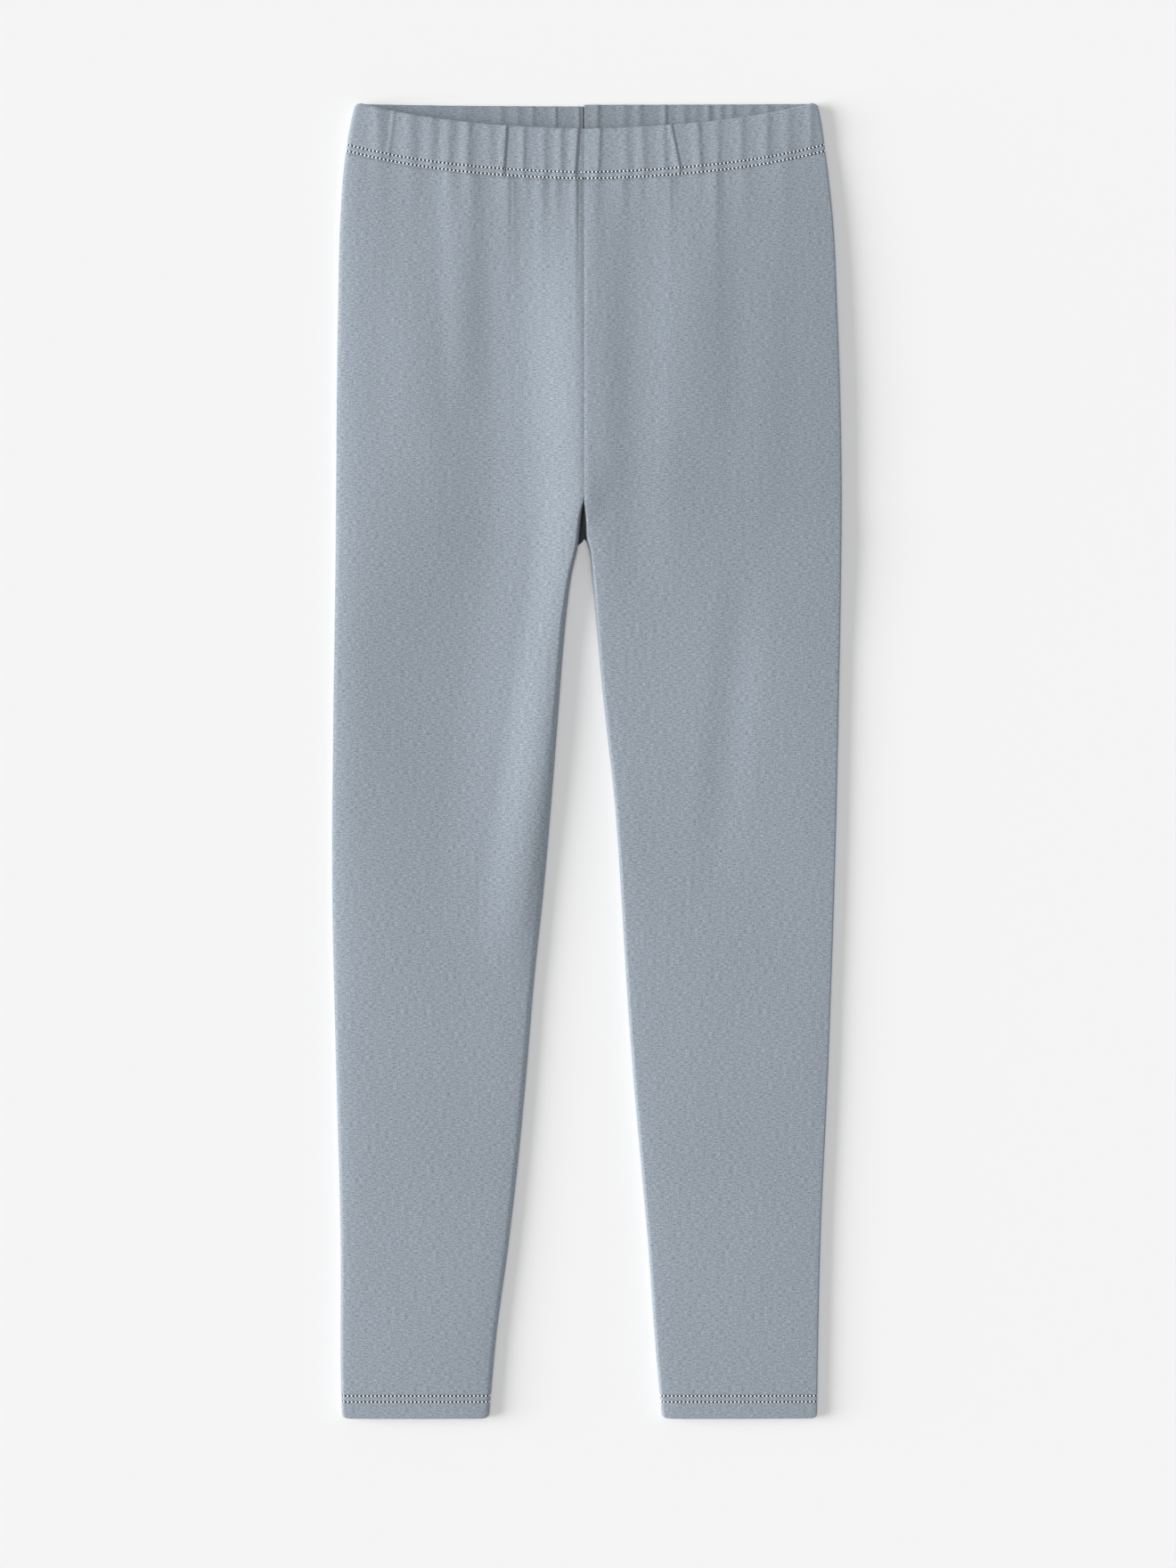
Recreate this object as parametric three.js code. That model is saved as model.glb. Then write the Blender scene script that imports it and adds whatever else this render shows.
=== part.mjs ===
// A child's pull-on leggings in stretch jersey, laid flat on their back with the front facing up.
// Each leg is cut in one panel that wraps from the front rise round the side to the back rise. Its two long
// edges meet in the inseam, its top is the casing of the elastic waist and its foot is a turned-up hem.
//
// Millimetres. +X is to the wearer's left, +Y to the waist and +Z up, out of the surface that they lie on.
// The origin is on that surface, under the middle of the garment. "Height" is the distance from the hems.

import * as THREE from "three";

// Lengths along the leg
const LENGTH = 700; // hems to the top of the back waist
const CROTCH = 466; // hems to the point where the legs part
const FRONT_RISE_START = 492; // where the front rise seam reaches the top layer
const BACK_RISE_START = 478; // where the back rise seam reaches the bottom layer
const CASING_DEPTH = 26.5; // top edge of the waist to just under its lower row of stitches
const HEM_DEPTH = 12.8; // hem edge to just over its upper row of stitches
const WAIST_DIP = 14.2; // how much lower the front edge of the waist lies than the back
const DIP_START = 520; // height where the front layer starts to slide down by that dip
const DIP_POWERS = [1.4, 3.2]; // how pointed the dip is at the centre front and how round by the sides

// Walls
const CLOTH = 1.2;
const HEM_CLOTH = 1.8; // cloth turned up once
const CASING_CLOTH = 1.6; // folded cloth round the elastic
const EDGE_ROUND = 0.55; // how far each face of a folded edge rolls in at its end
const SEAM_GAP = 0.3;

const MIDDLE_X = -0.7; // middle of the outline in the tables below, which comes to X 0 in the part

// The laid section
const EDGE_SHARE = 0.42; // height of the widest point, as a share of the loft
const HIP_CROWN = 0.2; // how much lower the cloth lies by its outer folds than at the rise, as a share of loft
const LEG_CROWN = 0.12; // how much lower it lies by a leg's edges than along its middle, as a share of loft
const UNDER_ROUND = 0.8; // radius of the edges underneath, as a share of the radius on top
const RISE_X = -2.5; // the centre seam, a little off the middle as the garment lies
const SEAM_ROLL = 67; // degrees of the edge's quarter turn that are left at the front rise seam
const UNDER_ROLL = 78; // the same at the back rise seam
const ROLL_RADIUS = 10; // width of the quarter turn whose last part is that roll
const NOTCH_RADIUS = 5; // the same where the legs part

// Outer folds of both legs, the height the laid cloth stands (loft) and the width over which its edges round
const OUTLINE = [
  { height: 0, right: -131.0, left: 121.7, loft: 8.6, round: 4.0 },
  { height: 16, right: -131.5, left: 121.9, loft: 8.6, round: 4.0 },
  { height: 91, right: -131.8, left: 123.3, loft: 8.6, round: 4.0 },
  { height: 186, right: -134.2, left: 127.5, loft: 8.6, round: 4.0 },
  { height: 281, right: -136.2, left: 130.8, loft: 8.8, round: 4.0 },
  { height: 376, right: -135.7, left: 133.1, loft: 9.2, round: 4.2 },
  { height: 452, right: -134.6, left: 134.4, loft: 9.8, round: 4.4 },
  { height: 494, right: -134.2, left: 134.8, loft: 10.2, round: 4.4 },
  { height: 541, right: -133.9, left: 134.1, loft: 10.5, round: 4.5 },
  { height: 589, right: -133.2, left: 132.5, loft: 10.7, round: 4.5 },
  { height: 641, right: -131.8, left: 129.9, loft: 10.8, round: 4.5 },
  { height: 669, right: -129.6, left: 126.8, loft: 10.8, round: 4.5 },
  { height: 693, right: -125.5, left: 123.1, loft: 10.8, round: 4.5 },
  { height: 700, right: -124.0, left: 121.8, loft: 10.8, round: 4.5 },
];

// Inner edges of the legs, and the width over which they round
const INSEAMS = [
  { height: 0, right: -53.0, left: 39.4, round: 4.0 },
  { height: 44, right: -49.1, left: 35.5, round: 4.0 },
  { height: 91, right: -42.9, left: 32.2, round: 4.0 },
  { height: 139, right: -37.4, left: 27.9, round: 4.0 },
  { height: 186, right: -33.0, left: 23.8, round: 4.0 },
  { height: 234, right: -29.0, left: 20.4, round: 4.2 },
  { height: 281, right: -24.0, left: 17.6, round: 4.2 },
  { height: 328, right: -20.0, left: 14.3, round: 4.4 },
  { height: 376, right: -16.3, left: 9.0, round: 4.5 },
  { height: 423, right: -12.5, left: 4.5, round: 4.6 },
  { height: 452, right: -8.6, left: 1.6, round: 4.8 },
  { height: CROTCH, right: RISE_X - SEAM_GAP / 2, left: RISE_X + SEAM_GAP / 2, round: NOTCH_RADIUS },
];

// Large folds of the top layer, each along a line that runs down from (xTop, top) to (xLow, low). It reaches
// toRight and toLeft of that line, towards the wearer's right and left. A negative rise is a trough.
const FOLDS = [
  { xTop: -3, xLow: 3, top: 672, low: 420, toRight: 36, toLeft: 130, rise: 7.2 },
  { xTop: -4, xLow: -50, top: 508, low: 180, toRight: 34, toLeft: 28, rise: 5.6 },
  { xTop: -52, xLow: -52, top: 640, low: 430, toRight: 34, toLeft: 26, rise: -1.4 },
  { xTop: -58, xLow: -88, top: 470, low: 250, toRight: 34, toLeft: 34, rise: -1.4 },
  { xTop: -68, xLow: -66, top: 690, low: 530, toRight: 14, toLeft: 16, rise: 1 },
  { xTop: 24, xLow: 25, top: 665, low: 430, toRight: 18, toLeft: 22, rise: -1.2 },
  { xTop: 57, xLow: 58, top: 690, low: 515, toRight: 25, toLeft: 27, rise: 1 },
  { xTop: 84, xLow: 66, top: 460, low: 280, toRight: 16, toLeft: 18, rise: -0.8 },
  { xTop: -96, xLow: -92, top: 620, low: 500, toRight: 20, toLeft: 22, rise: 0.5 },
  { xTop: 96, xLow: 92, top: 640, low: 470, toRight: 20, toLeft: 18, rise: 0.4 },
];

const FOLD_FULLNESS = 0.8; // under 1, a fold keeps its height over more of its length

// Creases between the gathers of the waist, front layer: place across the waist and how deep the crease is
const CREASES = [
  { x: -117, depth: 0.5 },
  { x: -104, depth: 0.7 },
  { x: -92, depth: 0.6 },
  { x: -81.5, depth: 0.8 },
  { x: -73.5, depth: 0.6 },
  { x: -62.5, depth: 0.8 },
  { x: -52.5, depth: 0.5 },
  { x: -42.5, depth: 1.1 },
  { x: -31.5, depth: 0.6 },
  { x: -23, depth: 0.7 },
  { x: -16, depth: 0.6 },
  { x: -9.5, depth: 0.9 },
  { x: 9, depth: 0.9 },
  { x: 20.5, depth: 0.6 },
  { x: 29.5, depth: 0.5 },
  { x: 40.5, depth: 0.7 },
  { x: 46.5, depth: 1.1 },
  { x: 59, depth: 0.7 },
  { x: 70, depth: 0.8 },
  { x: 83, depth: 0.6 },
  { x: 95.5, depth: 0.7 },
  { x: 105, depth: 0.6 },
  { x: 114, depth: 0.5 },
];
const SEAM_CREASE = 0.8; // depth of the crease along the rise seam
const END_CLEAR = 0.05; // share of a layer's width at either end that holds no other crease
const GATHER_FADE = 13; // the gathers fade over this length below the casing
const BACK_CREASE_SHIFT = 4; // the back layer's creases are the front's from the other side, moved by this
const GATHER_FULLNESS = 0.7; // under 1, the gathers are rounder and the creases between them sharper
const GATHER_BULK = 0.25; // how much thicker the casing is on a gather, as a share of the gather's height

// Columns round a leg and rows along it
const INNER_TURN = 0.15; // share of a layer's run that its rounding at the inner end takes
const OUTER_TURN = 0.15; // the same at the outer fold
const TURN_COLUMNS = 4; // columns in each of those two
const FLAT_COLUMNS = { front: 22, back: 6 }; // columns between them
const COLUMNS_PER_GATHER = 4;
const PANEL_ROWS = [
  { to: 120, rows: 3 },
  { to: 440, rows: 6 },
  { to: CROTCH, rows: 3 },
  { to: FRONT_RISE_START, rows: 4 },
  { to: 620, rows: 4 },
];
const GATHERED_ROWS = [38, 26, 16, 8, 3, 0]; // distances under the casing of the rows that show gathers
const SPARSE_BELOW = 440; // height up to which the inside has one row for every two outside
const CASING_ROWS = [0, 0.3, 0.62, 0.93, 1]; // as shares of the casing's depth, from the seam up
const HEM_ROWS = [0, 0.1, 1]; // as shares of the hem's depth, from the hem edge up

const COLOURS = {
  panel: { color: 0x969fa8, roughness: 0.9, metalness: 0 },
  casing: { color: 0x939ca6, roughness: 0.9, metalness: 0 },
  hem: { color: 0x929ca5, roughness: 0.9, metalness: 0 },
};

// A smooth curve through a table's rows: place is the column that runs along it, and value the one it reads.
function smoothCurve(rows, place, value) {
  const xs = rows.map(place);
  const ys = rows.map(value);
  const chords = xs.slice(1).map((x, i) => (ys[i + 1] - ys[i]) / (x - xs[i]));
  const slopes = xs.map((_, i) => {
    if (i === 0) return chords[0];
    if (i === xs.length - 1) return chords[i - 1];
    const before = xs[i] - xs[i - 1];
    const after = xs[i + 1] - xs[i];
    return (chords[i - 1] * after + chords[i] * before) / (before + after);
  });
  return (x) => {
    const within = Math.min(Math.max(x, xs[0]), xs[xs.length - 1]);
    let i = 0;
    while (i < xs.length - 2 && within > xs[i + 1]) i += 1;
    const span = xs[i + 1] - xs[i];
    const t = (within - xs[i]) / span;
    const a = (1 + 2 * t) * (1 - t) ** 2 * ys[i] + t * (1 - t) ** 2 * span * slopes[i];
    const b = t * t * (3 - 2 * t) * ys[i + 1] + t * t * (t - 1) * span * slopes[i + 1];
    return a + b;
  };
}

const byHeight = (row) => row.height;
const loft = smoothCurve(OUTLINE, byHeight, (row) => row.loft);
const outerRound = smoothCurve(OUTLINE, byHeight, (row) => row.round);
const outerEdge = {
  right: smoothCurve(OUTLINE, byHeight, (row) => row.right),
  left: smoothCurve(OUTLINE, byHeight, (row) => row.left),
};

// Below the crotch the inner edges follow the square root of the distance from it, which rounds the arch
// between the legs.
const fromCrotch = (height) => -Math.sqrt(Math.max(CROTCH - height, 0));
const byArch = (row) => fromCrotch(row.height);
const innerEdge = {
  right: smoothCurve(INSEAMS, byArch, (row) => row.right),
  left: smoothCurve(INSEAMS, byArch, (row) => row.left),
};
const innerRound = smoothCurve(INSEAMS, byHeight, (row) => row.round);

const mix = (a, b, t) => a + (b - a) * t;
const ease = (t) => THREE.MathUtils.smoothstep(t, 0, 1);
const radians = THREE.MathUtils.degToRad;

// How far round its edge's quarter turn a layer's inner end lies, in radians: nothing along the inseam,
// where both layers end at the leg's edge, and nearly all of it along the rise, where the layer ends flat.
function endTurn(front, height, rise) {
  const start = front ? FRONT_RISE_START : BACK_RISE_START;
  const open = (height - CROTCH) / (start - CROTCH);
  const level = front ? SEAM_ROLL : UNDER_ROLL;
  return Math.max(radians(level) * ease(open), Math.asin(SEAM_GAP / 2 / rise));
}

// A place on one layer of a leg's section: how far across it lies from the layer's inner end, and its share
// of the layer's full height. t runs from 0 at that end to 1 at the outer fold.
function acrossLayer(t, width, innerRadius, outerRadius, turn) {
  if (t < INNER_TURN) {
    const angle = mix(turn, Math.PI / 2, t / INNER_TURN);
    return { across: innerRadius * (Math.cos(turn) - Math.cos(angle)), share: Math.sin(angle) };
  }
  if (t > 1 - OUTER_TURN) {
    const angle = ((1 - t) / OUTER_TURN) * (Math.PI / 2);
    return { across: width - outerRadius * (1 - Math.cos(angle)), share: Math.sin(angle) };
  }
  const along = (t - INNER_TURN) / (1 - INNER_TURN - OUTER_TURN);
  return { across: mix(innerRadius * Math.cos(turn), width - outerRadius, along), share: 1 };
}

function foldHeight(x, height) {
  let sum = 0;
  for (const fold of FOLDS) {
    const along = (fold.top - height) / (fold.top - fold.low);
    if (along <= 0 || along >= 1) continue;
    const off = x - mix(fold.xTop, fold.xLow, along);
    const reach = off < 0 ? fold.toRight : fold.toLeft;
    if (Math.abs(off) >= reach) continue;
    const across = Math.cos((off / reach) * (Math.PI / 2)) ** 2;
    sum += fold.rise * Math.sin(Math.PI * along) ** FOLD_FULLNESS * across;
  }
  return sum;
}

// The outer face of a leg's cloth without its gathers. u runs from 0 at the front inner end over the top
// layer to 1 at the outer fold, and back under the leg to 2 at the back inner end.
function clothPoint(leg, u, height) {
  const side = leg === "right" ? -1 : 1;
  const front = u <= 1;
  const stand = loft(height);
  const edgeHeight = stand * EDGE_SHARE;
  const rise = front ? stand - edgeHeight : edgeHeight;
  const inner = innerEdge[leg](fromCrotch(height));
  const width = Math.abs(outerEdge[leg](height) - inner);
  const above = ease((height - CROTCH) / (FRONT_RISE_START - CROTCH));
  const onTop = front ? 1 : UNDER_ROUND;
  const innerRadius = mix(innerRound(height), ROLL_RADIUS, above) * onTop;
  const outerRadius = outerRound(height) * onTop;
  const turn = endTurn(front, height, rise);
  const place = acrossLayer(front ? u : 2 - u, width, innerRadius, outerRadius, turn);
  const x = inner + side * place.across;
  if (!front) return new THREE.Vector3(x, height, edgeHeight * (1 - place.share));

  const half = place.across / width;
  const crown = mix(LEG_CROWN * (2 * half - 1) ** 2, HIP_CROWN * half ** 2, above);
  const top = stand * (1 - crown) + foldHeight(x, height);
  const z = edgeHeight + (top - edgeHeight) * place.share;
  const slide = ease((height - DIP_START) / (LENGTH - CASING_DEPTH - DIP_START));
  const bend = DIP_POWERS.reduce((sum, power) => sum + half ** power / DIP_POWERS.length, 0);
  const dip = WAIST_DIP * slide * (1 - bend);
  return new THREE.Vector3(x, height - dip, z);
}

// The outward direction of that face, from two short steps on it
function clothNormal(leg, u, height) {
  const across = 0.002;
  const up = 0.2;
  const before = clothPoint(leg, Math.max(u - across, 0), height);
  const after = clothPoint(leg, Math.min(u + across, 2), height);
  const below = clothPoint(leg, u, Math.max(height - up, 0));
  const above = clothPoint(leg, u, Math.min(height + up, LENGTH));
  const round = after.sub(before);
  const along = above.sub(below);
  const normal = leg === "right" ? along.cross(round) : round.cross(along);
  return normal.normalize();
}

// The place in its layer's run, from 0 to 1, at which the waist is a given share of its width across
function columnAt(leg, isFront, share) {
  let low = 0;
  let high = 1;
  const inner = innerEdge[leg](0);
  const width = Math.abs(outerEdge[leg](LENGTH) - inner);
  for (let i = 0; i < 40; i += 1) {
    const middle = (low + high) / 2;
    const point = clothPoint(leg, isFront ? middle : 2 - middle, LENGTH - CASING_DEPTH);
    if (Math.abs(point.x - inner) / width < share) low = middle;
    else high = middle;
  }
  return (low + high) / 2;
}

// Creases of one layer of one leg's half of the waist, from the rise seam to the outer fold
function creasesOf(leg, isFront) {
  const width = Math.abs(outerEdge[leg](LENGTH) - RISE_X);
  const side = leg === "right" ? -1 : 1;
  const rows = CREASES.map((row) => {
    const x = isFront ? row.x : -row.x + BACK_CREASE_SHIFT;
    return { share: (side * (x - RISE_X)) / width, depth: row.depth };
  });
  const within = rows.filter((row) => row.share > END_CLEAR && row.share < 1 - END_CLEAR);
  within.sort((a, b) => a.share - b.share);
  const ends = [{ share: 0, depth: SEAM_CREASE }, ...within, { share: 1, depth: 0 }];
  return ends.map((row) => ({ column: columnAt(leg, isFront, row.share), depth: row.depth }));
}

const creases = {};
for (const leg of ["right", "left"]) {
  creases[leg] = { front: creasesOf(leg, true), back: creasesOf(leg, false) };
}

// The gathers at one place: how high the rounded bulge between two creases is there, and how deep the
// creases beside it are
function gatherAt(leg, u, height) {
  const rows = creases[leg][u <= 1 ? "front" : "back"];
  const t = u <= 1 ? u : 2 - u;
  const under = Math.max(LENGTH - CASING_DEPTH - height, 0);
  const fade = Math.exp(-under / GATHER_FADE);
  const next = Math.max(rows.findIndex((row) => row.column >= t), 1);
  const [low, high] = [rows[next - 1], rows[next]];
  const between = Math.min(Math.max((t - low.column) / (high.column - low.column), 0), 1);
  const deep = fade * mix(low.depth, high.depth, between);
  return { bulge: deep * Math.sin(Math.PI * between) ** GATHER_FULLNESS, deep };
}

// A point of the cloth at a depth under its outer face. On top the gathers stand up out of the cloth. Under
// the garment they rest on the surface, and the creases between them rise off it.
function atDepth(leg, u, height, depth, bulk = 0) {
  const { bulge, deep } = gatherAt(leg, u, height);
  const raised = u <= 1 ? bulge : bulge - deep;
  const off = raised - depth - bulk * bulge;
  return clothPoint(leg, u, height).addScaledVector(clothNormal(leg, u, height), off);
}

// Columns round a leg: plain ones, and ones that follow each gather
const steps = (from, to, count) => Array.from({ length: count }, (_, i) => mix(from, to, i / count));

function layerColumns(flat) {
  const inner = steps(0, INNER_TURN, TURN_COLUMNS);
  const middle = steps(INNER_TURN, 1 - OUTER_TURN, flat);
  const outer = steps(1 - OUTER_TURN, 1, TURN_COLUMNS);
  return [...inner, ...middle, ...outer];
}

function plainColumns() {
  const under = layerColumns(FLAT_COLUMNS.back).map((t) => 2 - t);
  return [...layerColumns(FLAT_COLUMNS.front), 1, ...under.reverse()];
}

function gatheredLayer(rows) {
  const between = rows
    .slice(1)
    .flatMap((row, i) => steps(rows[i].column, row.column, COLUMNS_PER_GATHER))
    .filter((t) => t < 1 - OUTER_TURN);
  return [...between, ...steps(1 - OUTER_TURN, 1, TURN_COLUMNS)];
}

function gatheredColumns(leg) {
  const under = gatheredLayer(creases[leg].back).map((t) => 2 - t);
  return [...gatheredLayer(creases[leg].front), 1, ...under.reverse()];
}

// Collects the triangles of one closed sheet. Each face of the sheet is a list of rows from the foot up, and
// a row is a line of points with the column that each one stands in.
class Sheet {
  constructor() {
    this.points = [];
    this.triangles = [];
  }

  row({ columns, height, place }) {
    const line = columns.map((u) => {
      const p = place(u, height);
      this.points.push(p.x, p.y, p.z);
      return { at: u, index: this.points.length / 3 - 1 };
    });
    return { height, line };
  }

  // Fills the strip between two lines of points that may differ in number, always taking the shorter step on
  strip(a, b, flipped) {
    let i = 0;
    let j = 0;
    while (i < a.length - 1 || j < b.length - 1) {
      const stepA = j === b.length - 1 || (i < a.length - 1 && a[i + 1].at <= b[j + 1].at);
      const next = stepA ? a[i + 1] : b[j + 1];
      const corners = [a[i].index, next.index, b[j].index];
      this.triangles.push(...(flipped ? corners.reverse() : corners));
      if (stepA) i += 1;
      else j += 1;
    }
  }

  face(rows, flipped) {
    rows.slice(1).forEach((row, i) => this.strip(rows[i].line, row.line, flipped));
  }

  // The four narrow rims between the outer and the inner face
  rims(outer, inner, flipped) {
    const end = (rows, place) => rows.map((row) => ({ at: row.height, index: row.line.at(place).index }));
    this.strip(inner.at(0).line, outer.at(0).line, flipped);
    this.strip(outer.at(-1).line, inner.at(-1).line, flipped);
    this.strip(end(outer, 0), end(inner, 0), flipped);
    this.strip(end(inner, -1), end(outer, -1), flipped);
  }

  geometry() {
    const geometry = new THREE.BufferGeometry();
    geometry.setAttribute("position", new THREE.Float32BufferAttribute(this.points, 3));
    geometry.setIndex(this.triangles);
    geometry.computeVertexNormals();
    return geometry;
  }
}

// Closes a sheet from the rows of its two faces. A row is { columns, height, place }.
function sheetGeometry(leg, outerRows, innerRows) {
  const sheet = new Sheet();
  const outer = outerRows.map((row) => sheet.row(row));
  const inner = innerRows.map((row) => sheet.row(row));
  const mirrored = leg === "right";
  sheet.face(outer, mirrored);
  sheet.face(inner, !mirrored);
  sheet.rims(outer, inner, mirrored);
  return sheet.geometry();
}

// The leg panel, from over the hem to under the casing
function panelGeometry(leg) {
  const foot = HEM_DEPTH + SEAM_GAP;
  const head = LENGTH - CASING_DEPTH - SEAM_GAP;
  const heights = [foot];
  for (const { to, rows } of PANEL_ROWS) {
    const from = heights[heights.length - 1];
    for (let i = 1; i <= rows; i += 1) heights.push(mix(from, to, i / rows));
  }
  const plain = plainColumns();
  const gathered = gatheredColumns(leg);
  const rowsAt = (depth, plainHeights) => {
    const place = (u, height) => atDepth(leg, u, height, depth);
    return [
      ...plainHeights.map((height) => ({ columns: plain, height, place })),
      ...GATHERED_ROWS.map((under) => ({ columns: gathered, height: head - under, place })),
    ];
  };
  const sparse = heights.filter((height, i) => i % 2 === 0 || height > SPARSE_BELOW);
  return sheetGeometry(leg, rowsAt(0, heights), rowsAt(CLOTH, sparse));
}

// The turned-up hem: cloth of double thickness with a rounded foot
function hemGeometry(leg) {
  const plain = plainColumns();
  const rowsAt = (depth, roll) =>
    HEM_ROWS.map((share) => {
      const rolled = share === 0 ? depth + roll : depth;
      const place = (u, height) => atDepth(leg, u, height, rolled);
      return { columns: plain, height: share * HEM_DEPTH, place };
    });
  return sheetGeometry(leg, rowsAt(0, EDGE_ROUND), rowsAt(HEM_CLOTH, -EDGE_ROUND));
}

// One half of the gathered casing of the waist, with a rounded top edge
function casingGeometry(leg) {
  const gathered = gatheredColumns(leg);
  const rowsAt = (depth, roll, bulk) =>
    CASING_ROWS.map((share) => {
      const rolled = share === 1 ? depth + roll : depth;
      const place = (u, height) => atDepth(leg, u, height, rolled, bulk);
      return { columns: gathered, height: LENGTH - CASING_DEPTH * (1 - share), place };
    });
  return sheetGeometry(leg, rowsAt(0, EDGE_ROUND, 0), rowsAt(CASING_CLOTH, -EDGE_ROUND, GATHER_BULK));
}

function piece(name, geometry, look) {
  const mesh = new THREE.Mesh(geometry, new THREE.MeshStandardMaterial(look));
  mesh.name = name;
  mesh.position.set(-MIDDLE_X, -LENGTH / 2, 0);
  return mesh;
}

const leggings = new THREE.Group();
leggings.name = "leggings";
for (const leg of ["right", "left"]) {
  leggings.add(
    piece(`${leg}_leg_panel`, panelGeometry(leg), COLOURS.panel),
    piece(`${leg}_leg_hem`, hemGeometry(leg), COLOURS.hem),
    piece(`${leg}_waist_casing`, casingGeometry(leg), COLOURS.casing),
  );
}

export default leggings;
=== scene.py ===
"""A child's pull-on leggings in heathered stretch jersey, laid flat on their back with the front facing up.

Shapes are worked out in millimetres in the garment's own frame and put into meshes in metres. +X is to the
wearer's left, +Y to the waist and +Z up. "Height" is the distance along the leg from the hem edges.
"""

import logging
from dataclasses import dataclass, field
from enum import Enum
from typing import NamedTuple

import bpy
import numpy as np
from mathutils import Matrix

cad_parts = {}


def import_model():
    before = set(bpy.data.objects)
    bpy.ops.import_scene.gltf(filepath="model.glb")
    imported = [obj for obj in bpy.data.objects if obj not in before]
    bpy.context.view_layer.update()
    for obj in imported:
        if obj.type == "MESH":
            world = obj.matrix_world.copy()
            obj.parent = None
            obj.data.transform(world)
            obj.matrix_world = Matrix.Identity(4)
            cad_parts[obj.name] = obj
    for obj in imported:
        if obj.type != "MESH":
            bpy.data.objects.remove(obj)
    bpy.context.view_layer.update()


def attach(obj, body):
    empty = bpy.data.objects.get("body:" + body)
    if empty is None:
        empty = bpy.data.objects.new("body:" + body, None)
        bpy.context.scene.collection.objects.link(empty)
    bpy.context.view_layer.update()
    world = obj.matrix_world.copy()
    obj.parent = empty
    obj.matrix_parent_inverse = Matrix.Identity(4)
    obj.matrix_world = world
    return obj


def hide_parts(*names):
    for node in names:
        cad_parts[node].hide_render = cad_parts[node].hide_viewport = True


LOG = logging.getLogger("leggings")
MM = 0.001
RIB = 0.00078
COURSE = 0.00056
Array = np.ndarray


class Leg(Enum):
    """The wearer's legs. The value is the direction of the leg from the centre seams along X."""

    RIGHT = -1.0
    LEFT = 1.0

    @property
    def word(self) -> str:
        """The leg's name in lower case."""
        return self.name.lower()


class SmoothCurve:
    """A smooth curve through a table's places and values."""

    def __init__(self, places: list[float], values: list[float]) -> None:
        """Works out the slope at each place as the mean of the chords beside it, weighted by their nearness.

        Args:
            places: where the values hold, rising.
            values: the value at each place.
        """
        self.places = np.asarray(places, float)
        self.values = np.asarray(values, float)
        spans = np.diff(self.places)
        chords = np.diff(self.values) / spans
        inner = (chords[:-1] * spans[1:] + chords[1:] * spans[:-1]) / (spans[1:] + spans[:-1])
        self.slopes = np.concatenate([chords[:1], inner, chords[-1:]])

    def __call__(self, at: Array) -> Array:
        """Reads the curve: a cubic between each two places that meets both their values and slopes.

        Args:
            at: places to read, held to the table's range.

        Returns:
            The values there.
        """
        within = np.clip(at, self.places[0], self.places[-1])
        i = np.clip(np.searchsorted(self.places, within, side="right") - 1, 0, len(self.places) - 2)
        span = self.places[i + 1] - self.places[i]
        t = (within - self.places[i]) / span
        start = (1 + 2 * t) * (1 - t) ** 2 * self.values[i] + t * (1 - t) ** 2 * span * self.slopes[i]
        end = t * t * (3 - 2 * t) * self.values[i + 1] + t * t * (t - 1) * span * self.slopes[i + 1]
        return start + end


def mix(low: Array, high: Array, share: Array) -> Array:
    """Goes from low to high as share goes from 0 to 1."""
    return low + (high - low) * share


def ease(share: Array) -> Array:
    """A smooth step from 0 to 1, held outside that range."""
    held = np.clip(share, 0.0, 1.0)
    return held * held * (3 - 2 * held)


def unit(vectors: Array) -> Array:
    """Gives each vector the length 1."""
    return vectors / np.linalg.norm(vectors, axis=-1, keepdims=True)


class OutlineRow(NamedTuple):
    """The garment's outer folds at one height: their places across, the cloth's loft and the folds' rounding.

    right_fall is how far the cloth sinks towards the right leg's fold.
    """

    height: float
    right: float
    left: float
    loft: float
    right_round: float
    left_round: float
    right_fall: float


class InseamRow(NamedTuple):
    """The legs' inner edges at one height, and the width over which each rounds."""

    height: float
    right: float
    left: float
    right_round: float
    left_round: float


class FoldRow(NamedTuple):
    """A soft fold of the top layer along a line from (x_top, top) down to (x_low, low).

    It reaches to_right and to_left of that line, towards the wearer's right and left. A negative rise is a
    trough. A fold of one leg doesn't cross to the other below the rise seam.
    """

    x_top: float
    x_low: float
    top: float
    low: float
    to_right: float
    to_left: float
    rise: float
    leg: Leg | None = None


class GatherRow(NamedTuple):
    """A small ridge of gathered cloth, from its place at the top edge, or below the casing, to the stitches.

    to_right and to_left are the widths of its two flanks, cut is the depth of a sharp crease beside it, where
    the cloth folds under, and below is the length over which it fades under the casing.
    """

    top: float
    low: float
    rise: float
    to_right: float
    to_left: float
    cut: float
    below: float


def table(kind: type, *rows: tuple) -> tuple:
    """Makes a table's rows. Its columns are the fields of kind, in their order."""
    return tuple(kind(*row) for row in rows)


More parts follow.
